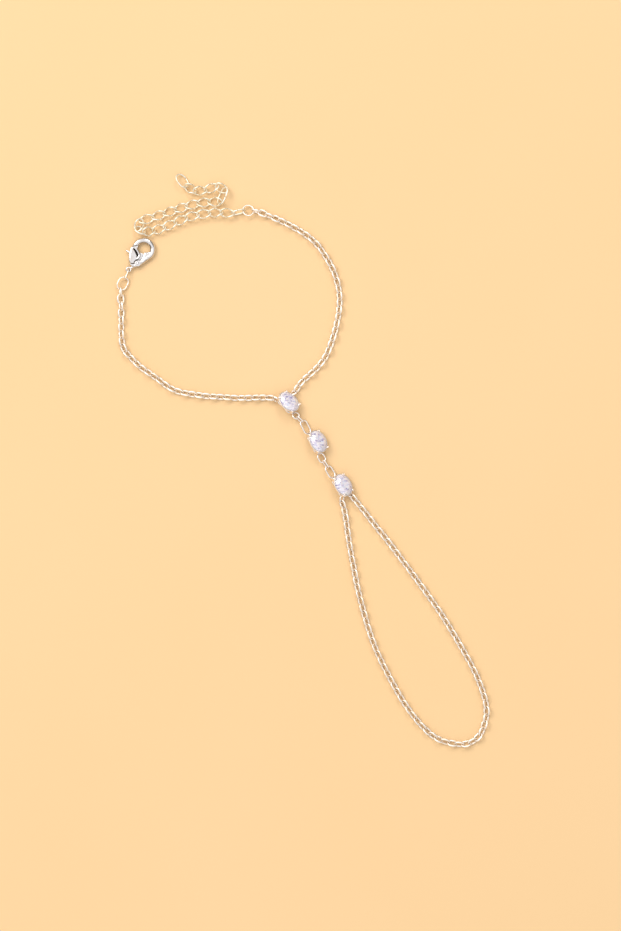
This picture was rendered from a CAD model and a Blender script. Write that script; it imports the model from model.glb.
import math

import bmesh
import bpy
import numpy as np
from mathutils import Matrix, Vector, kdtree


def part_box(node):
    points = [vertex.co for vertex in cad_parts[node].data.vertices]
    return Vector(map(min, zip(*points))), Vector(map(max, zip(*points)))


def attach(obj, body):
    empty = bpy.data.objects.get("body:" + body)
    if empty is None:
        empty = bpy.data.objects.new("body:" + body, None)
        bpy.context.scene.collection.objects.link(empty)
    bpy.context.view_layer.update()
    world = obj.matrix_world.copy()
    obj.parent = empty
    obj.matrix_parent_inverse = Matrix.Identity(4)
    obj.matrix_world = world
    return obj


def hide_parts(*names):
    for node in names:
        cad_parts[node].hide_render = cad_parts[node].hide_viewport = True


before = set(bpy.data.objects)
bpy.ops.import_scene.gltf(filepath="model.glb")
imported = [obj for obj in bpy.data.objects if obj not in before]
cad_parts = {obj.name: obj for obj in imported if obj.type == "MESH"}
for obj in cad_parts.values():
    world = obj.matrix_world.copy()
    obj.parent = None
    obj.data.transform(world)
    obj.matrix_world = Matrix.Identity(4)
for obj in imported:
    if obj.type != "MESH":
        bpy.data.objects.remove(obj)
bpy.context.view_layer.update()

mm = 0.001
scene = bpy.context.scene
print("frame loaded:", len(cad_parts), "nodes")


def hexToLinear(code):
    # an sRGB hex value as linear red, green and blue, fully opaque
    channels = [int(code[i : i + 2], 16) / 255 for i in (1, 3, 5)]
    linear = [c / 12.92 if c <= 0.04045 else ((c + 0.055) / 1.055) ** 2.4 for c in channels]
    return (*linear, 1.0)


def addNode(tree, kind, settings=None, links=None):
    # a key that names or numbers a socket sets that socket, any other key a property of the node
    node = tree.nodes.new(kind)
    for key, value in (settings or {}).items():
        if isinstance(key, int) or key in node.inputs:
            node.inputs[key].default_value = value
        else:
            setattr(node, key, value)
    for key, source in (links or {}).items():
        tree.links.new(source, node.inputs[key])
    return node


def fillRamp(ramp, stops):
    # stops hold the place and the hex colour of each, in rising order
    while len(ramp.elements) < len(stops):
        ramp.elements.new(1.0)
    for stop, (share, tint) in zip(ramp.elements, stops):
        stop.position = share
        stop.color = hexToLinear(tint)


def newMaterial(name):
    material = bpy.data.materials.new(name)
    material.use_nodes = True
    material.node_tree.nodes.clear()
    return material, material.node_tree


def newPiece(name, points, faces, material):
    mesh = bpy.data.meshes.new(name)
    mesh.from_pydata([tuple(p) for p in points], [], [tuple(f) for f in faces])
    shaped = bmesh.new()
    shaped.from_mesh(mesh)
    bmesh.ops.recalc_face_normals(shaped, faces=shaped.faces)
    shaped.to_mesh(mesh)
    shaped.free()
    for face in mesh.polygons:
        face.use_smooth = True
    mesh.materials.append(material)
    piece = bpy.data.objects.new(name, mesh)
    scene.collection.objects.link(piece)
    return piece


def standFor(piece, node, body="bracelet"):
    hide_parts(node)
    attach(piece, body)


cameraSettings = {
    # straight above the bracelet, aimed at the middle of the photograph
    "lensMm": 85.0,
    "sensorMm": 36.0,
    "heightMm": 660.4,
    "aimXMm": 2.325,
    "aimYMm": -1.77,
}
cameraData = bpy.data.cameras.new("camera")
cameraData.lens = cameraSettings["lensMm"]
cameraData.sensor_width = cameraSettings["sensorMm"]
camera = bpy.data.objects.new("camera", cameraData)
camera.location = (
    cameraSettings["aimXMm"] * mm,
    cameraSettings["aimYMm"] * mm,
    cameraSettings["heightMm"] * mm,
)
scene.collection.objects.link(camera)
scene.camera = camera
scene.view_settings.view_transform = "Standard"
scene.view_settings.look = "None"

lightSettings = {
    # place in metres, side of the square panel in metres, watts, colour
    "key": ((-0.75, 0.62, 1.15), 0.75, 10.0, "#FFF8EE"),
    "fill": ((0.2, 1.0, 1.1), 0.4, 3.0, "#FFFFFF"),
}
for lightName, (place, side, watts, tint) in lightSettings.items():
    lamp = bpy.data.lights.new(lightName, "AREA")
    lamp.size = side
    lamp.energy = watts
    lamp.color = hexToLinear(tint)[:3]
    holder = bpy.data.objects.new(lightName, lamp)
    holder.location = place
    holder.rotation_mode = "QUATERNION"
    holder.rotation_quaternion = (-Vector(place)).to_track_quat("-Z", "Y")
    scene.collection.objects.link(holder)

skySettings = {
    # height above the horizon as a share, colour; the low dark band draws thin dark lines in the bright wire
    "steps": [(0.0, "#B5A48C"), (0.07, "#5E5548"), (0.2, "#857B6D"), (0.38, "#EFEAE3"), (1.0, "#FFFFFF")],
    "strength": 1.04,
    # dark cards of the light tent: direction, where the edge starts and where it is fully dark
    "cards": [((0.62, 0.52, 0.58), 0.945, 0.975), ((-0.86, -0.2, 0.47), 0.95, 0.98)],
    "cardColour": "#554E47",
}
world = bpy.data.worlds.new("softStudio")
scene.world = world
world.use_nodes = True
sky = world.node_tree
sky.nodes.clear()
direction = addNode(sky, "ShaderNodeTexCoord")
height = addNode(sky, "ShaderNodeSeparateXYZ", links={0: direction.outputs["Generated"]})
skyRamp = addNode(sky, "ShaderNodeValToRGB", links={0: height.outputs["Z"]})
fillRamp(skyRamp.color_ramp, skySettings["steps"])
skyColour = skyRamp.outputs["Color"]
for aim, edge, full in skySettings["cards"]:
    facing = addNode(
        sky,
        "ShaderNodeVectorMath",
        {"operation": "DOT_PRODUCT", 1: Vector(aim).normalized()},
        {0: direction.outputs["Generated"]},
    )
    share = addNode(
        sky,
        "ShaderNodeMapRange",
        {"From Min": edge, "From Max": full},
        {"Value": facing.outputs["Value"]},
    )
    card = addNode(
        sky,
        "ShaderNodeMix",
        {"data_type": "RGBA", 7: hexToLinear(skySettings["cardColour"])},
        {0: share.outputs[0], 6: skyColour},
    )
    skyColour = card.outputs[2]
skyLight = addNode(
    sky,
    "ShaderNodeBackground",
    {"Strength": skySettings["strength"]},
    {"Color": skyColour},
)
addNode(sky, "ShaderNodeOutputWorld", links={"Surface": skyLight.outputs[0]})

floorSettings = {
    "halfSideM": 6.0,
    # two close tones that drift into each other, and how often in a metre
    "colour": "#ECCB9E",
    "shade": "#EAC797",
    "driftsPerM": 9.0,
    # drawn coarser than paper's own fibres, which would not show
    "fibreMm": 0.35,
    "fibreBump": 0.12,
    "fibreDepthMm": 0.02,
    "roughness": 0.9,
    "gloss": 0.2,
}


def paperMaterial():
    # matt coloured paper: even, no gloss, with a faint fibre grain and slow changes of tone
    material, tree = newMaterial("mattPaper")
    place = addNode(tree, "ShaderNodeTexCoord")
    slow = addNode(
        tree,
        "ShaderNodeTexNoise",
        {"Scale": floorSettings["driftsPerM"], "Detail": 3.0, "Roughness": 0.5},
        {"Vector": place.outputs["Object"]},
    )
    tone = addNode(
        tree,
        "ShaderNodeMix",
        {
            "data_type": "RGBA",
            6: hexToLinear(floorSettings["colour"]),
            7: hexToLinear(floorSettings["shade"]),
        },
        {0: slow.outputs["Fac"]},
    )
    fibre = addNode(
        tree,
        "ShaderNodeTexNoise",
        {"Scale": 1 / (floorSettings["fibreMm"] * mm), "Detail": 4.0},
        {"Vector": place.outputs["Object"]},
    )
    grain = addNode(
        tree,
        "ShaderNodeBump",
        {"Strength": floorSettings["fibreBump"], "Distance": floorSettings["fibreDepthMm"] * mm},
        {"Height": fibre.outputs["Fac"]},
    )
    surface = addNode(
        tree,
        "ShaderNodeBsdfPrincipled",
        {"Roughness": floorSettings["roughness"], "Specular IOR Level": floorSettings["gloss"]},
        {"Base Color": tone.outputs[2], "Normal": grain.outputs["Normal"]},
    )
    addNode(tree, "ShaderNodeOutputMaterial", links={"Surface": surface.outputs[0]})
    return material


side = floorSettings["halfSideM"]
floor = newPiece(
    "floor",
    [(-side, -side, 0), (side, -side, 0), (side, side, 0), (-side, side, 0)],
    [(0, 1, 2, 3)],
    paperMaterial(),
)
print("studio ready")

plating = {
    # patches of thin plate: their size, and where on the noise they begin and are full, each with how far a
    # finish with more thin plate brings it down
    "patchMm": 2.4,
    "thinFrom": (0.62, 0.5),
    "thinFull": (0.86, 0.3),
    # least and most roughness over the grain, as shares of the finish's own
    "glossSpread": (0.7, 1.5),
    # strength and depth in mm of the shallow dents and of the polishing grain, which is drawn coarser than
    # real polishing lines because those would not show
    "dentBump": (0.35, 0.03),
    "grainBump": (0.15, 0.004),
}
patinas = {
    # how far the corners are felt, openness where tarnish starts and where it is full, its share and colour
    "wire": {"reachMm": 0.8, "opensAt": 0.41, "closedAt": 0.12, "share": 0.72, "colour": "#453C2E"},
    "light": {"reachMm": 0.6, "opensAt": 0.36, "closedAt": 0.1, "share": 0.3, "colour": "#7E7152"},
    "cast": {"reachMm": 0.55, "opensAt": 0.84, "closedAt": 0.55, "share": 0.98, "colour": "#17120F"},
}
metalFinishes = {
    # wire drawn through a die: its fine lines spread the mirror into a soft bright glow
    "silverPlatedDrawnBrassWire": {
        "clean": "#FDF5EC",
        "worn": "#F5E5D3",
        "roughness": 0.37,
        "wornShare": 0.25,
        "grainMm": 0.12,
        "dentMm": 0.6,
        "patina": "wire",
    },
    # handled plate on the extender: yellower, with wider and softer highlights
    "dullSilverPlatedBrassWire": {
        "clean": "#FBF7EB",
        "worn": "#EEE4CA",
        "roughness": 0.46,
        "wornShare": 0.4,
        "grainMm": 0.12,
        "dentMm": 0.6,
        "patina": "light",
    },
    # buffed casting: nearly a mirror, with broad bands of the room and black joints
    "polishedSilverPlatedZincCasting": {
        "clean": "#E6E2E2",
        "worn": "#D8CCC2",
        "roughness": 0.08,
        "wornShare": 0.2,
        "grainMm": 0.16,
        "dentMm": 1.4,
        "patina": "cast",
    },
    # silver left unpolished in a recess: black sulphide that gives almost nothing back
    "tarnishedSilverInRecess": {
        "clean": "#1C1814",
        "worn": "#12100E",
        "roughness": 0.4,
        "wornShare": 0.3,
        "grainMm": 0.14,
        "dentMm": 0.8,
        "patina": "cast",
    },
    # tumbled casting of the settings: bright, with small soft highlights on claws and rims
    "silverPlatedBrassCasting": {
        "clean": "#FBF5F2",
        "worn": "#F2E4D6",
        "roughness": 0.3,
        "wornShare": 0.2,
        "grainMm": 0.14,
        "dentMm": 0.8,
        "patina": "light",
    },
}


def platedMetal(name):
    # bright plated metal: a mirror with faint polishing grain, a warmer tone where the plate is thin, and
    # dark tarnish in the corners that no polishing wheel reaches
    finish = metalFinishes[name]
    patina = patinas[finish["patina"]]
    dentStrength, dentDepthMm = plating["dentBump"]
    grainStrength, grainDepthMm = plating["grainBump"]
    smoothest, roughest = plating["glossSpread"]
    material, tree = newMaterial(name)
    place = addNode(tree, "ShaderNodeTexCoord")
    patches = addNode(
        tree,
        "ShaderNodeTexNoise",
        {"Scale": 1 / (plating["patchMm"] * mm), "Detail": 4.0, "Roughness": 0.6},
        {"Vector": place.outputs["Object"]},
    )
    wornRamp = addNode(tree, "ShaderNodeValToRGB", links={0: patches.outputs["Fac"]})
    for stop, key in zip(wornRamp.color_ramp.elements, ("thinFrom", "thinFull")):
        highest, drop = plating[key]
        stop.position = highest - finish["wornShare"] * drop
    colour = addNode(
        tree,
        "ShaderNodeMix",
        {"data_type": "RGBA", 6: hexToLinear(finish["clean"]), 7: hexToLinear(finish["worn"])},
        {0: wornRamp.outputs["Color"]},
    )
    corners = addNode(
        tree,
        "ShaderNodeAmbientOcclusion",
        {"samples": 8, "Distance": patina["reachMm"] * mm},
    )
    tarnish = addNode(
        tree,
        "ShaderNodeMapRange",
        {"From Min": patina["opensAt"], "From Max": patina["closedAt"], "To Max": patina["share"]},
        {"Value": corners.outputs["AO"]},
    )
    aged = addNode(
        tree,
        "ShaderNodeMix",
        {"data_type": "RGBA", 7: hexToLinear(patina["colour"])},
        {0: tarnish.outputs[0], 6: colour.outputs[2]},
    )
    grain = addNode(
        tree,
        "ShaderNodeTexNoise",
        {"Scale": 1 / (finish["grainMm"] * mm), "Detail": 2.0},
        {"Vector": place.outputs["Object"]},
    )
    dents = addNode(
        tree,
        "ShaderNodeTexNoise",
        {"Scale": 1 / (finish["dentMm"] * mm), "Detail": 1.0},
        {"Vector": place.outputs["Object"]},
    )
    gloss = addNode(
        tree,
        "ShaderNodeMapRange",
        {"To Min": finish["roughness"] * smoothest, "To Max": finish["roughness"] * roughest},
        {"Value": grain.outputs["Fac"]},
    )
    ripple = addNode(
        tree,
        "ShaderNodeBump",
        {"Strength": dentStrength, "Distance": dentDepthMm * mm},
        {"Height": dents.outputs["Fac"]},
    )
    fine = addNode(
        tree,
        "ShaderNodeBump",
        {"Strength": grainStrength, "Distance": grainDepthMm * mm},
        {"Height": grain.outputs["Fac"], "Normal": ripple.outputs["Normal"]},
    )
    surface = addNode(
        tree,
        "ShaderNodeBsdfPrincipled",
        {"Metallic": 1.0},
        {
            "Base Color": aged.outputs[2],
            "Roughness": gloss.outputs[0],
            "Normal": fine.outputs["Normal"],
        },
    )
    addNode(tree, "ShaderNodeOutputMaterial", links={"Surface": surface.outputs[0]})
    return material


drawnSilverPlate = platedMetal("silverPlatedDrawnBrassWire")
dullSilverPlate = platedMetal("dullSilverPlatedBrassWire")
castSilverPlate = platedMetal("polishedSilverPlatedZincCasting")
tarnishedSilver = platedMetal("tarnishedSilverInRecess")
settingSilverPlate = platedMetal("silverPlatedBrassCasting")

stoneSettings = {
    # place of each tone among the flashes, darkest first
    "tones": [(0.0, "#A8A0C6"), (0.08, "#D3CEEA"), (0.3, "#F3EDF9"), (0.7, "#E3E9FB"), (0.9, "#FFFFFF")],
    # size of a flash, drawn coarser than the real ones so that it shows, and its stretch along each axis
    "flashMm": 0.44,
    "stretch": (0.75, 1.35, 1.0),
    # how far a flash leans, and the share of light that passes through
    "tilt": 0.2,
    "clear": 0.12,
    "roughness": 0.01,
    "index": 2.15,
}
foilSettings = {"hazeMm": 0.9, "tones": ("#EDEBFC", "#D9D8F6"), "roughness": 0.06}


def cubicZirconiaMaterial():
    # cut and polished cubic zirconia over a silvered back: a mosaic of flashes from white to violet grey,
    # each leaning its own way
    material, tree = newMaterial("polishedCubicZirconia")
    place = addNode(tree, "ShaderNodeTexCoord")
    drawn = addNode(
        tree,
        "ShaderNodeVectorMath",
        {"operation": "MULTIPLY", 1: stoneSettings["stretch"]},
        {0: place.outputs["Object"]},
    )
    flashes = addNode(
        tree,
        "ShaderNodeTexVoronoi",
        {"Scale": 1 / (stoneSettings["flashMm"] * mm), "Randomness": 1.0},
        {"Vector": drawn.outputs["Vector"]},
    )
    flashTone = addNode(tree, "ShaderNodeSeparateColor", links={0: flashes.outputs["Color"]})
    toneRamp = addNode(tree, "ShaderNodeValToRGB", links={0: flashTone.outputs[0]})
    toneRamp.color_ramp.interpolation = "CONSTANT"
    fillRamp(toneRamp.color_ramp, stoneSettings["tones"])
    # cell colours run from 0 to 1, so half is taken off and a flash can lean either way
    lean = addNode(
        tree,
        "ShaderNodeVectorMath",
        {"operation": "SUBTRACT", 1: (0.5, 0.5, 0.5)},
        {0: flashes.outputs["Color"]},
    )
    facing = addNode(tree, "ShaderNodeNewGeometry")
    leaning = addNode(
        tree,
        "ShaderNodeVectorMath",
        {"operation": "MULTIPLY_ADD", 1: (stoneSettings["tilt"],) * 3},
        {0: lean.outputs["Vector"], 2: facing.outputs["Normal"]},
    )
    facet = addNode(
        tree,
        "ShaderNodeVectorMath",
        {"operation": "NORMALIZE"},
        {0: leaning.outputs["Vector"]},
    )
    surface = addNode(
        tree,
        "ShaderNodeBsdfPrincipled",
        {
            "Roughness": stoneSettings["roughness"],
            "IOR": stoneSettings["index"],
            "Transmission Weight": stoneSettings["clear"],
        },
        {"Base Color": toneRamp.outputs["Color"], "Normal": facet.outputs["Vector"]},
    )
    addNode(tree, "ShaderNodeOutputMaterial", links={"Surface": surface.outputs[0]})
    return material


cubicZirconia = cubicZirconiaMaterial()


def foilMaterial():
    # silvered and lacquered back of the stone: a pale violet mirror that throws light back through the crown
    pale, deep = foilSettings["tones"]
    material, tree = newMaterial("silveredStoneBack")
    place = addNode(tree, "ShaderNodeTexCoord")
    haze = addNode(
        tree,
        "ShaderNodeTexNoise",
        {"Scale": 1 / (foilSettings["hazeMm"] * mm), "Detail": 2.0},
        {"Vector": place.outputs["Object"]},
    )
    tint = addNode(
        tree,
        "ShaderNodeMix",
        {"data_type": "RGBA", 6: hexToLinear(pale), 7: hexToLinear(deep)},
        {0: haze.outputs["Fac"]},
    )
    surface = addNode(
        tree,
        "ShaderNodeBsdfPrincipled",
        {"Metallic": 1.0, "Roughness": foilSettings["roughness"]},
        {"Base Color": tint.outputs[2]},
    )
    addNode(tree, "ShaderNodeOutputMaterial", links={"Surface": surface.outputs[0]})
    return material


silveredBack = foilMaterial()
print("materials ready")

weldMm = 0.0005  # corner points nearer than this are one

linkForm = {
    # along half a link: where the soldered bead starts and how long it is, and how far the thick middle goes
    "beadZone": (0.55, 0.45),
    "swellReach": 0.8,
    # filed ends of a cut link: bevel as a share of the wire, what is left of the wire at the tip, and how
    # many such stretches as drift out of line would make the whole link
    "bevelShare": 0.05,
    "tipShare": 0.86,
    "driftParts": 6,
    # a link hardly longer than it is wide is drawn as a round ring
    "roundBelowMm": 0.02,
}


def easeInOut(share):
    # from 0 to 1, slow at both ends
    return share * share * (3 - 2 * share)


def endDrift(count):
    # how far each point of a cut link stands out of line: one way at its start, the other way at its end
    parts = linkForm["driftParts"]
    share = np.arange(count) / (count - 1)
    return np.clip(1 - share * parts, 0, 1) ** 2 - np.clip(share * parts - (parts - 1), 0, 1) ** 2


def islands(node):
    # the separate solids of a CAD node, each as an array of its corner points
    shaped = bmesh.new()
    shaped.from_mesh(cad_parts[node].data)
    bmesh.ops.remove_doubles(shaped, verts=shaped.verts, dist=weldMm * mm)
    seen = set()
    groups = []
    for start in shaped.verts:
        if start.index in seen:
            continue
        seen.add(start.index)
        group = []
        waiting = [start]
        while waiting:
            corner = waiting.pop()
            group.append(tuple(corner.co))
            for edge in corner.link_edges:
                other = edge.other_vert(corner)
                if other.index not in seen:
                    seen.add(other.index)
                    waiting.append(other)
        groups.append(np.array(group))
    shaped.free()
    return groups


def ownAxes(points):
    # middle, axes along, across and out of the plane, and half sizes of a flat oval link
    middle = (points.max(0) + points.min(0)) / 2
    spread = points - points.mean(0)
    axes = np.linalg.eigh(spread.T @ spread)[1].T[::-1].copy()
    reach = (points - middle) @ axes.T
    middle = middle + ((reach.max(0) + reach.min(0)) / 2) @ axes
    return middle, axes, (reach.max(0) - reach.min(0)) / 2


def ovalPath(straight, radius, arcSteps, sideSteps):
    # closed line from the middle of the lower side, with its outward directions, in the link's plane
    line = []
    out = []
    half = sideSteps // 2

    def addSide(sign, first, last):
        for k in range(first, last):
            line.append((sign * straight * (k / half), -sign * radius))
            out.append((0.0, -sign))

    def addArc(sign):
        for k in range(arcSteps + 1):
            turn = -math.pi / 2 + math.pi * k / arcSteps
            line.append((sign * (straight + radius * math.cos(turn)), sign * radius * math.sin(turn)))
            out.append((sign * math.cos(turn), sign * math.sin(turn)))

    if straight < linkForm["roundBelowMm"] * mm:
        steps = 2 * arcSteps
        for k in range(steps):
            turn = -math.pi / 2 + 2 * math.pi * k / steps
            line.append((radius * math.cos(turn), radius * math.sin(turn)))
            out.append((math.cos(turn), math.sin(turn)))
    else:
        addSide(1, 0, half)
        addArc(1)
        addSide(-1, 1 - half, half)
        addArc(-1)
        addSide(1, 1 - half, 0)
    return np.array(line), np.array(out)


def sweepWire(line, out, normal, radii, sides, closed):
    # rings of points round a line in space, joined into a skin that never goes below the floor
    turn = np.arange(sides) * 2 * math.pi / sides
    outPart = np.cos(turn)[None, :, None] * out[:, None, :]
    normalPart = np.sin(turn)[None, :, None] * normal[:, None, :]
    ring = outPart + normalPart
    points = (line[:, None, :] + radii[:, None, None] * ring).reshape(-1, 3)
    points[:, 2] = np.maximum(points[:, 2], 0.0)
    count = len(line)
    faces = []
    for i in range(count if closed else count - 1):
        a = i * sides
        b = ((i + 1) % count) * sides
        for q in range(sides):
            r = (q + 1) % sides
            faces.append((a + q, a + r, b + r, b + q))
    if not closed:
        faces.append(tuple(range(sides))[::-1])
        faces.append(tuple(range((count - 1) * sides, count * sides)))
    return points, faces


def ovalLink(points, wire, steps, roll=0.0, slit=0.0, offset=0.0, bead=0.0, swell=0.0):
    # a smooth wire link in the place of one CAD link; wire is its thickness in the CAD
    middle, axes, half = ownAxes(points)
    radius = half[1] - wire / 2
    straight = max(half[0] - half[1], 0.0)
    line, out = ovalPath(straight, radius, steps["arc"], steps["side"])
    along = axes[0]
    across = math.cos(roll) * axes[1] + math.sin(roll) * np.cross(along, axes[1])
    normal = np.cross(along, across)
    drawnRadius = wire / 2 * steps["wireShare"]
    radii = np.full(len(line), drawnRadius)
    lift = np.zeros(len(line))
    if slit:
        # a cut link: both ends filed square, drawn apart and a little out of line
        bevel = linkForm["bevelShare"] * wire
        first = line[0]
        tangent = np.array([-out[0][1], out[0][0]])
        start = [first + tangent * (slit / 2), first + tangent * (slit / 2 + bevel)]
        end = [first - tangent * (slit / 2 + bevel), first - tangent * (slit / 2)]
        line = np.vstack([start, line[1:], end])
        out = np.vstack([out[0], out[0], out[1:], out[0], out[0]])
        radii = np.full(len(line), drawnRadius)
        radii[[0, -1]] *= linkForm["tipShare"]
        lift = offset * endDrift(len(line))
    if bead:
        # the soldered end of a closed link is slightly thicker
        beadStart, beadLength = linkForm["beadZone"]
        reachAlong = line[:, 0] / half[0]
        radii = radii * (1 + bead * np.clip((reachAlong - beadStart) / beadLength, 0, 1) ** 2)
    if swell:
        # pressed links are thickest in the middle of their long sides
        nearMiddle = np.clip(1 - np.abs(line[:, 0]) / (linkForm["swellReach"] * half[0]), 0, 1)
        radii = radii * (1 + swell * easeInOut(nearMiddle))
    place = middle + line[:, :1] * along + line[:, 1:] * across + lift[:, None] * normal
    outward = out[:, :1] * along + out[:, 1:] * across
    normals = np.tile(normal, (len(line), 1))
    return sweepWire(place, outward, normals, radii, steps["sides"], closed=not slit)


def curbLink(points, forward, startFlip, endFlip, fullness, settings):
    # an oval link twisted along its length, so that every link of the chain lies nearly flat; a flip of 1
    # keeps the CAD link's roll at that end, and -1 turns it the other way
    middle, axes, half = ownAxes(points)
    along = axes[0] if axes[0] @ forward > 0 else -axes[0]
    level = np.cross([0.0, 0.0, 1.0], along)
    level = level / np.linalg.norm(level)
    up = np.cross(along, level)
    roll = math.atan2(axes[1] @ up, axes[1] @ level)
    if abs(roll) > math.pi / 2:
        roll -= math.copysign(math.pi, roll)
    thick = settings["wireMm"] * mm
    slit = settings["slitMm"] * mm
    reachAlong = half[0] - thick / 2
    reachAcross = half[1] - thick / 2
    edge = (slit / 2 + linkForm["bevelShare"] * thick) / reachAlong
    turns = np.linspace(-math.pi / 2 + edge, 3 * math.pi / 2 - edge, settings["steps"])
    ends = np.array([slit / 2 / reachAlong])
    turns = np.concatenate([-math.pi / 2 + ends, turns, 3 * math.pi / 2 - ends])
    power = 2 / fullness
    x = reachAlong * np.sign(np.cos(turns)) * np.abs(np.cos(turns)) ** power
    y = reachAcross * np.sign(np.sin(turns)) * np.abs(np.sin(turns)) ** power
    share = np.clip(x / (settings["twistShare"] * reachAlong), -1, 1) / 2 + 0.5
    rolls = roll * (startFlip + (endFlip - startFlip) * easeInOut(share))
    across = np.cos(rolls)[:, None] * level + np.sin(rolls)[:, None] * up
    count = len(turns)
    away = np.cross(along, across)
    line = middle + x[:, None] * along + y[:, None] * across
    line = line + (settings["offsetMm"] * mm * endDrift(count))[:, None] * away
    run = np.gradient(line, axis=0)
    run = run / np.linalg.norm(run, axis=1)[:, None]
    outAlong = (np.cos(turns) / reachAlong)[:, None] * along
    outAcross = (np.sin(turns) / reachAcross)[:, None] * across
    out = outAlong + outAcross
    out = out - (out * run).sum(1)[:, None] * run
    out = out / np.linalg.norm(out, axis=1)[:, None]
    radii = np.full(count, settings["drawnMm"] * mm / 2)
    radii[[0, -1]] *= linkForm["tipShare"]
    return sweepWire(line, out, np.cross(run, out), radii, settings["sides"], closed=False)


def joinLinks(parts):
    # the points and faces of many links as those of one mesh
    points = []
    faces = []
    base = 0
    for linkPoints, linkFaces in parts:
        points.append(linkPoints)
        faces.extend(tuple(base + k for k in face) for face in linkFaces)
        base += len(linkPoints)
    return np.vstack(points), faces


fineChain = {
    # thickness of the CAD's wire, and the most that a link is rolled by chance
    "wireMm": 0.4452,
    "rollSpreadDeg": 3.0,
    # how much thicker the soldered end and the pressed sides are, as shares of the wire
    "bead": 0.04,
    "swell": 0.38,
    # steps round an end, along a side and round the wire; drawn thickness over the CAD's
    "steps": {"arc": 14, "side": 8, "sides": 12, "wireShare": 1.22},
    "seed": 11,
}
chance = np.random.default_rng(fineChain["seed"])
for node in ("wrist_chain_left", "wrist_chain_right", "finger_chain_left", "finger_chain_right"):
    links = []
    for corners in islands(node):
        roll = math.radians(chance.uniform(-1, 1) * fineChain["rollSpreadDeg"])
        links.append(
            ovalLink(
                corners,
                fineChain["wireMm"] * mm,
                fineChain["steps"],
                roll,
                bead=fineChain["bead"],
                swell=fineChain["swell"],
            )
        )
    chain = newPiece(node + "_links", *joinLinks(links), drawnSilverPlate)
    standFor(chain, node)
    print(node, len(links), "links", len(chain.data.polygons), "faces")

extenderChain = {
    # thickness of the CAD's wire, and of the wire that is drawn
    "wireMm": 0.5,
    "drawnMm": 0.53,
    # gap between a link's cut ends, and how far they stand out of line
    "slitMm": 0.05,
    "offsetMm": 0.04,
    # 2 is an ellipse and more is squarer; share of the link's length that takes the twist
    "fullness": 2.25,
    "twistShare": 0.6,
    "steps": 56,
    "sides": 14,
    # links at the sharp folds and beside the jump ring, which keep one roll from end to end
    "straightLinks": (0, 9, 18),
    # the two links at the tightest fold are fuller ovals, so that their wires pass clear
    "fullLinks": {18: 2.8, 19: 2.8},
}
corners = islands("extender_chain") + islands("extender_end_link")
middles = [(c.max(0) + c.min(0)) / 2 for c in corners]
links = []
flip = 1
for k, points in enumerate(corners[:-1]):
    forward = middles[k + 1] - middles[max(k - 1, 0)]
    endFlip = flip if k in extenderChain["straightLinks"] else -flip
    fullness = extenderChain["fullLinks"].get(k, extenderChain["fullness"])
    links.append(curbLink(points, forward, flip, endFlip, fullness, extenderChain))
    flip = endFlip
chain = newPiece("extender_curb_links", *joinLinks(links), dullSilverPlate)
standFor(chain, "extender_chain")
forward = middles[-1] - middles[-2]
endLink = newPiece(
    "extender_last_link",
    *curbLink(corners[-1], forward, 1, 1, extenderChain["fullness"], extenderChain),
    dullSilverPlate,
)
standFor(endLink, "extender_end_link")
print("extender", len(corners), "links", len(chain.data.polygons), "faces")

jumpRings = {
    # wire thickness and slit between the filed ends, in mm
    "rings": {
        "extender_jump_ring": (0.5, 0.07),
        "clasp_jump_ring": (0.5, 0.07),
        "clasp_link": (0.42, 0.05),
    },
    "offsetMm": 0.07,
    "steps": {"arc": 28, "side": 6, "sides": 18, "wireShare": 1.0},
}
for node, (wire, slit) in jumpRings["rings"].items():
    (corners,) = islands(node)
    ring = newPiece(
        node + "_wire",
        *ovalLink(
            corners,
            wire * mm,
            jumpRings["steps"],
            slit=slit * mm,
            offset=jumpRings["offsetMm"] * mm,
        ),
        drawnSilverPlate,
    )
    standFor(ring, node)

connectors = {
    "wireMm": 0.44,
    "bead": 0.04,
    "steps": {"arc": 20, "side": 8, "sides": 16, "wireShare": 1.18},
}
for node in ("upper_connector", "lower_connector"):
    (corners,) = islands(node)
    link = newPiece(
        node + "_wire",
        *ovalLink(
            corners,
            connectors["wireMm"] * mm,
            connectors["steps"],
            bead=connectors["bead"],
        ),
        settingSilverPlate,
    )
    standFor(link, node)
print("rings and connectors ready")

pillow = {
    # half thickness that is left alone, and the most that is left of it over the rivet
    "coreMm": 0.45,
    "cheekMm": 0.83,
    # how far in from an edge the curve reaches, and how much of the rise is left at the edge itself
    "reachMm": 0.85,
    "edgeShare": 0.3,
    # a point whose normal rises less than this is on a side wall
    "sideNormal": 0.35,
    # round the rivet, walls that are no edge: its own hole, and the cheek's step above the case
    "holeZoneMm": 0.5,
    "cheekZoneMm": 1.1,
    "caseMm": 0.7,
}


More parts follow.
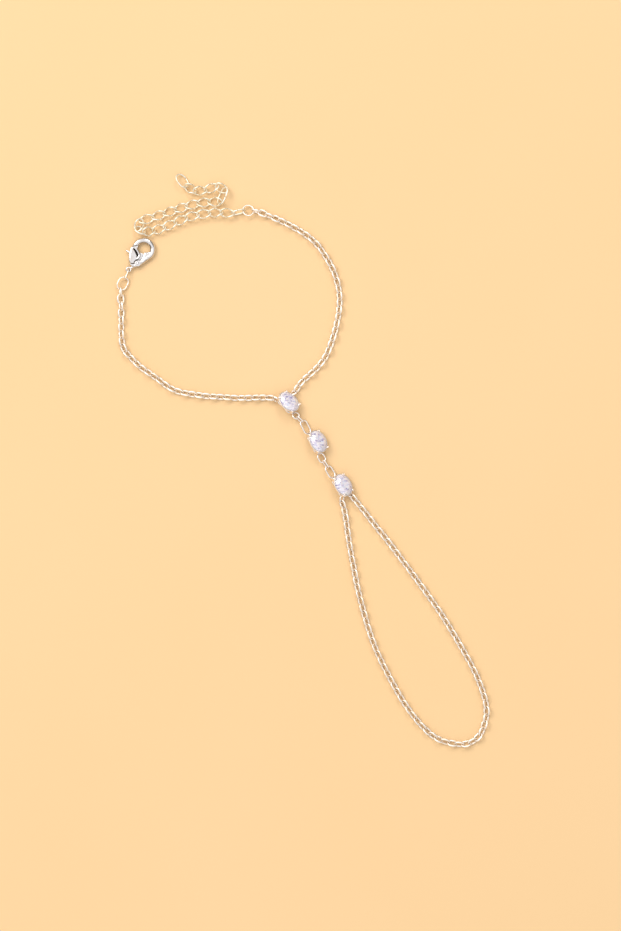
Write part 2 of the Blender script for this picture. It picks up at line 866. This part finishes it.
def roundedOver(shape):
    # the upper and lower faces fall away in a curve towards every edge, as on a cast and tumbled piece
    places = np.array([tuple(corner.co) for corner in shape.vertices])
    flat = np.array([abs(corner.normal.z) for corner in shape.vertices])
    low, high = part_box("clasp_pin")
    pivot = np.array([(low.x + high.x) / 2, (low.y + high.y) / 2]) / mm
    fromRivet = np.linalg.norm(places[:, :2] - pivot, axis=1)
    middle = (places[:, 2].max() + places[:, 2].min()) / 2
    rise = places[:, 2] - middle
    wall = (flat < pillow["sideNormal"]) & (np.abs(rise) > pillow["coreMm"])
    hole = fromRivet < pillow["holeZoneMm"]
    step = (fromRivet < pillow["cheekZoneMm"]) & (np.abs(rise) > pillow["caseMm"])
    sides = np.nonzero(wall & ~hole & ~step)[0]
    tree = kdtree.KDTree(len(sides))
    for k, i in enumerate(sides):
        tree.insert((places[i][0], places[i][1], 0.0), k)
    tree.balance()
    away = np.array([tree.find((x, y, 0.0))[2] for x, y in places[:, :2]])
    inward = 1 - np.clip(away / pillow["reachMm"], 0, 1)
    share = pillow["edgeShare"] + (1 - pillow["edgeShare"]) * np.sqrt(1 - inward**2)
    over = np.maximum(np.abs(rise) - pillow["coreMm"], 0)
    core = np.minimum(np.abs(rise), pillow["coreMm"])
    lowered = np.sign(rise) * np.minimum(core + over * share, pillow["cheekMm"])
    for corner, z in zip(shape.vertices, middle + lowered):
        corner.co.z = z


def castFrom(node, voxelMm, passes, growMm, rounded, material):
    # a copy of the CAD solid as it comes out of the mould and the tumbler: joints filled, edges soft
    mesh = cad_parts[node].data.copy()
    mesh.transform(Matrix.Scale(1 / mm, 4))
    shaped = bmesh.new()
    shaped.from_mesh(mesh)
    bmesh.ops.remove_doubles(shaped, verts=shaped.verts, dist=weldMm)
    shaped.to_mesh(mesh)
    shaped.free()
    piece = bpy.data.objects.new(node + "_cast", mesh)
    scene.collection.objects.link(piece)
    cast = piece.modifiers.new("cast", "REMESH")
    cast.mode = "VOXEL"
    cast.voxel_size = voxelMm
    tumble = piece.modifiers.new("tumble", "SMOOTH")
    tumble.factor = 0.5
    tumble.iterations = passes
    bpy.context.view_layer.update()
    shape = bpy.data.meshes.new_from_object(piece.evaluated_get(bpy.context.evaluated_depsgraph_get()))
    swollen = [corner.co + corner.normal * growMm for corner in shape.vertices]
    for corner, place in zip(shape.vertices, swollen):
        corner.co = (place.x, place.y, max(place.z, 0.0))
    if rounded:
        roundedOver(shape)
    shape.transform(Matrix.Scale(mm, 4))
    piece.modifiers.clear()
    piece.data = shape
    shape.materials.clear()
    shape.materials.append(material)
    for face in shape.polygons:
        face.use_smooth = True
    return piece


groove = {
    # from the middle of the rivet, and how level a face must lie to be the groove's floor
    "acrossMm": (-1.5, 0.2),
    "alongMm": (1.7, 4.7),
    "halfHeightMm": 0.55,
    "levelNormal": 0.2,
}


def blackenRecess(piece):
    # the polishing wheel does not reach the floor of the lever's groove, which stays black
    left, right = groove["acrossMm"]
    near, far = groove["alongMm"]
    low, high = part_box("clasp_pin")
    middle = (low + high) / 2
    piece.data.materials.append(tarnishedSilver)
    for face in piece.data.polygons:
        x, y, z = (face.center - middle) / mm
        inGroove = left < x < right and near < y < far and abs(z) < groove["halfHeightMm"]
        if inGroove and abs(face.normal.z) > groove["levelNormal"]:
            face.material_index = 1


castSettings = {
    # node: voxel in mm, smoothing passes, growth in mm, rounded over, material, slot, body
    "clasp_body": (0.05, 5, 0.0, True, castSilverPlate, "cast_clasp", "bracelet"),
    "clasp_lever": (0.045, 4, 0.0, True, castSilverPlate, "cast_clasp", "lever"),
    "upper_setting": (0.045, 4, 0.05, False, settingSilverPlate, "claw_settings", "bracelet"),
    "middle_setting": (0.045, 4, 0.05, False, settingSilverPlate, "claw_settings", "bracelet"),
    "lower_setting": (0.045, 4, 0.05, False, settingSilverPlate, "claw_settings", "bracelet"),
}
for node, (voxel, passes, growth, rounded, material, slotName, body) in castSettings.items():
    piece = castFrom(node, voxel, passes, growth, rounded, material)
    if node == "clasp_lever":
        blackenRecess(piece)
    standFor(piece, node, body)
    print(node, "cast", len(piece.data.polygons), "faces")

rivet = {
    "radiusMm": 0.3,
    # height of the domed head, and how deep its top lies below the end of the CAD pin
    "domeMm": 0.04,
    "sunkMm": 0.14,
    "ringShares": (0.3, 0.6, 0.85, 1.0),
    "steps": 40,
}


def rivetPiece():
    low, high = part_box("clasp_pin")
    middle = (low + high) / 2
    top = high.z - rivet["sunkMm"] * mm
    foot = low.z + rivet["sunkMm"] * mm
    dome = rivet["domeMm"] * mm
    radius = rivet["radiusMm"] * mm
    steps = rivet["steps"]
    rings = [(radius * share, dome * (1 - share**2)) for share in rivet["ringShares"]]
    profile = [(r, top - dome + d) for r, d in rings]
    profile += [(r, foot + dome - d) for r, d in rings[::-1]]
    points = []
    for r, z in profile:
        for k in range(steps):
            turn = 2 * math.pi * k / steps
            points.append((middle.x + r * math.cos(turn), middle.y + r * math.sin(turn), z))
    faces = []
    for i in range(len(profile) - 1):
        for k in range(steps):
            j = (k + 1) % steps
            faces.append((i * steps + k, i * steps + j, (i + 1) * steps + j, (i + 1) * steps + k))
    faces.append(tuple(range(steps)))
    faces.append(tuple(range((len(profile) - 1) * steps, len(profile) * steps)))
    return newPiece("clasp_rivet", points, faces, castSilverPlate)


standFor(rivetPiece(), "clasp_pin")
print("rivet ready")

ovalCut = {
    "lengthMm": 6.5,
    "widthMm": 5.0,
    "crownMm": 0.95,
    "pavilionMm": 1.8,
    "tableShare": 0.56,
    "girdleMm": 0.1,
    # where a star facet meets the crown, out from the middle and up, and how deep the lower halves are cut
    "starShare": 0.79,
    "starRise": 0.6,
    "halvesDepth": 0.76,
    "outlineSteps": 96,
    # foot and top of the blank, and the gaps below which a cut and two corners count as one
    "blankMm": (-2.5, 1.5),
    "cutMm": 1e-5,
    "cornerMm": 1e-4,
    # a facet whose normal points lower than this is on the silvered back
    "backNormal": -0.1,
}


def planeThrough(a, b, c):
    # point and unit normal of the plane, facing away from the stone's middle
    normal = np.cross(b - a, c - a)
    normal = normal / np.linalg.norm(normal)
    if normal @ a < 0:
        normal = -normal
    return a, normal


def meetingPoint(planes):
    # the one point that three planes share
    return np.linalg.solve(np.array([n for p, n in planes]), np.array([n @ p for p, n in planes]))


def facetPlanes():
    # table, eight kites, eight mains, and in each gap a star, two upper halves and two lower halves
    a = ovalCut["lengthMm"] / 2
    b = ovalCut["widthMm"] / 2
    g = ovalCut["girdleMm"] / 2

    def onOval(turn, share, z):
        return np.array([a * share * math.cos(turn), b * share * math.sin(turn), z])

    def tangent(turn):
        return np.array([-a * math.sin(turn), b * math.cos(turn), 0.0])

    turns = [math.pi / 4 * i for i in range(8)]
    middles = [t + math.pi / 8 for t in turns]
    crown = ovalCut["crownMm"]
    depth = -ovalCut["pavilionMm"]
    culet = np.array([0.0, 0.0, depth])
    table = [onOval(t, ovalCut["tableShare"], crown) for t in turns]
    rim = [onOval(t, 1, g) for t in turns]
    rimMiddle = [onOval(t, 1, g) for t in middles]
    low = [p - np.array([0, 0, 2 * g]) for p in rim]
    lowMiddle = [p - np.array([0, 0, 2 * g]) for p in rimMiddle]
    kites = [planeThrough(rim[i], rim[i] + tangent(turns[i]), table[i]) for i in range(8)]
    mains = [planeThrough(low[i], low[i] + tangent(turns[i]), culet) for i in range(8)]
    planes = [(np.array([0, 0, crown]), np.array([0, 0, 1.0]))] + kites + mains
    for i in range(8):
        j = (i + 1) % 8
        starFoot = onOval(middles[i], ovalCut["starShare"], crown * ovalCut["starRise"])
        star = planeThrough(table[i], table[j], starFoot)
        corner = meetingPoint([kites[i], kites[j], star])
        ridge = np.cross(mains[i][1], mains[j][1])
        ridge = ridge / ridge[2]
        lowCorner = culet + ridge * (-depth * (1 - ovalCut["halvesDepth"]))
        planes.append(star)
        planes.append(planeThrough(rim[i], rimMiddle[i], corner))
        planes.append(planeThrough(rimMiddle[i], rim[j], corner))
        planes.append(planeThrough(low[i], lowMiddle[i], lowCorner))
        planes.append(planeThrough(lowMiddle[i], low[j], lowCorner))
    return planes


def cutStone():
    # a blank with an oval outline, ground back by one plane after another
    steps = ovalCut["outlineSteps"]
    stone = bmesh.new()
    rows = []
    for z in ovalCut["blankMm"]:
        row = []
        for k in range(steps):
            turn = 2 * math.pi * k / steps
            x = ovalCut["lengthMm"] / 2 * math.cos(turn)
            y = ovalCut["widthMm"] / 2 * math.sin(turn)
            row.append(stone.verts.new((x, y, z)))
        rows.append(row)
    stone.faces.new(rows[0][::-1])
    stone.faces.new(rows[1])
    for k in range(steps):
        j = (k + 1) % steps
        stone.faces.new((rows[0][k], rows[0][j], rows[1][j], rows[1][k]))
    for point, normal in facetPlanes():
        bmesh.ops.bisect_plane(
            stone,
            geom=stone.verts[:] + stone.edges[:] + stone.faces[:],
            dist=ovalCut["cutMm"],
            plane_co=Vector(point),
            plane_no=Vector(normal),
            clear_outer=True,
        )
        rimEdges = [e for e in stone.edges if e.is_boundary]
        if rimEdges:
            bmesh.ops.edgeloop_fill(stone, edges=rimEdges)
    bmesh.ops.remove_doubles(stone, verts=stone.verts, dist=ovalCut["cornerMm"])
    bmesh.ops.recalc_face_normals(stone, faces=stone.faces)
    return stone


def stonePlace(node):
    # the CAD stone's own axes: along its length, across it and up through its table
    (corners,) = islands(node)
    middle, axes = ownAxes(corners)[:2]
    up = axes[2]
    if up[2] < 0:
        up = -up
    along = axes[0]
    across = np.cross(up, along)
    crown = (corners @ up).max()
    centre = middle + up * (crown - ovalCut["crownMm"] * mm - middle @ up)
    place = Matrix.Identity(4)
    for row in range(3):
        place[row][0] = along[row]
        place[row][1] = across[row]
        place[row][2] = up[row]
        place[row][3] = centre[row]
    return place


for node in ("upper_stone", "middle_stone", "lower_stone"):
    cut = cutStone()
    mesh = bpy.data.meshes.new(node + "_cut")
    cut.to_mesh(mesh)
    cut.free()
    mesh.materials.append(cubicZirconia)
    mesh.materials.append(silveredBack)
    for face in mesh.polygons:
        face.material_index = 1 if face.normal.z < ovalCut["backNormal"] else 0
    mesh.transform(stonePlace(node) @ Matrix.Scale(mm, 4))
    gem = bpy.data.objects.new(node + "_cut", mesh)
    scene.collection.objects.link(gem)
    standFor(gem, node)
    print(node, "cut", len(mesh.polygons), "facets")

print("boxes written")
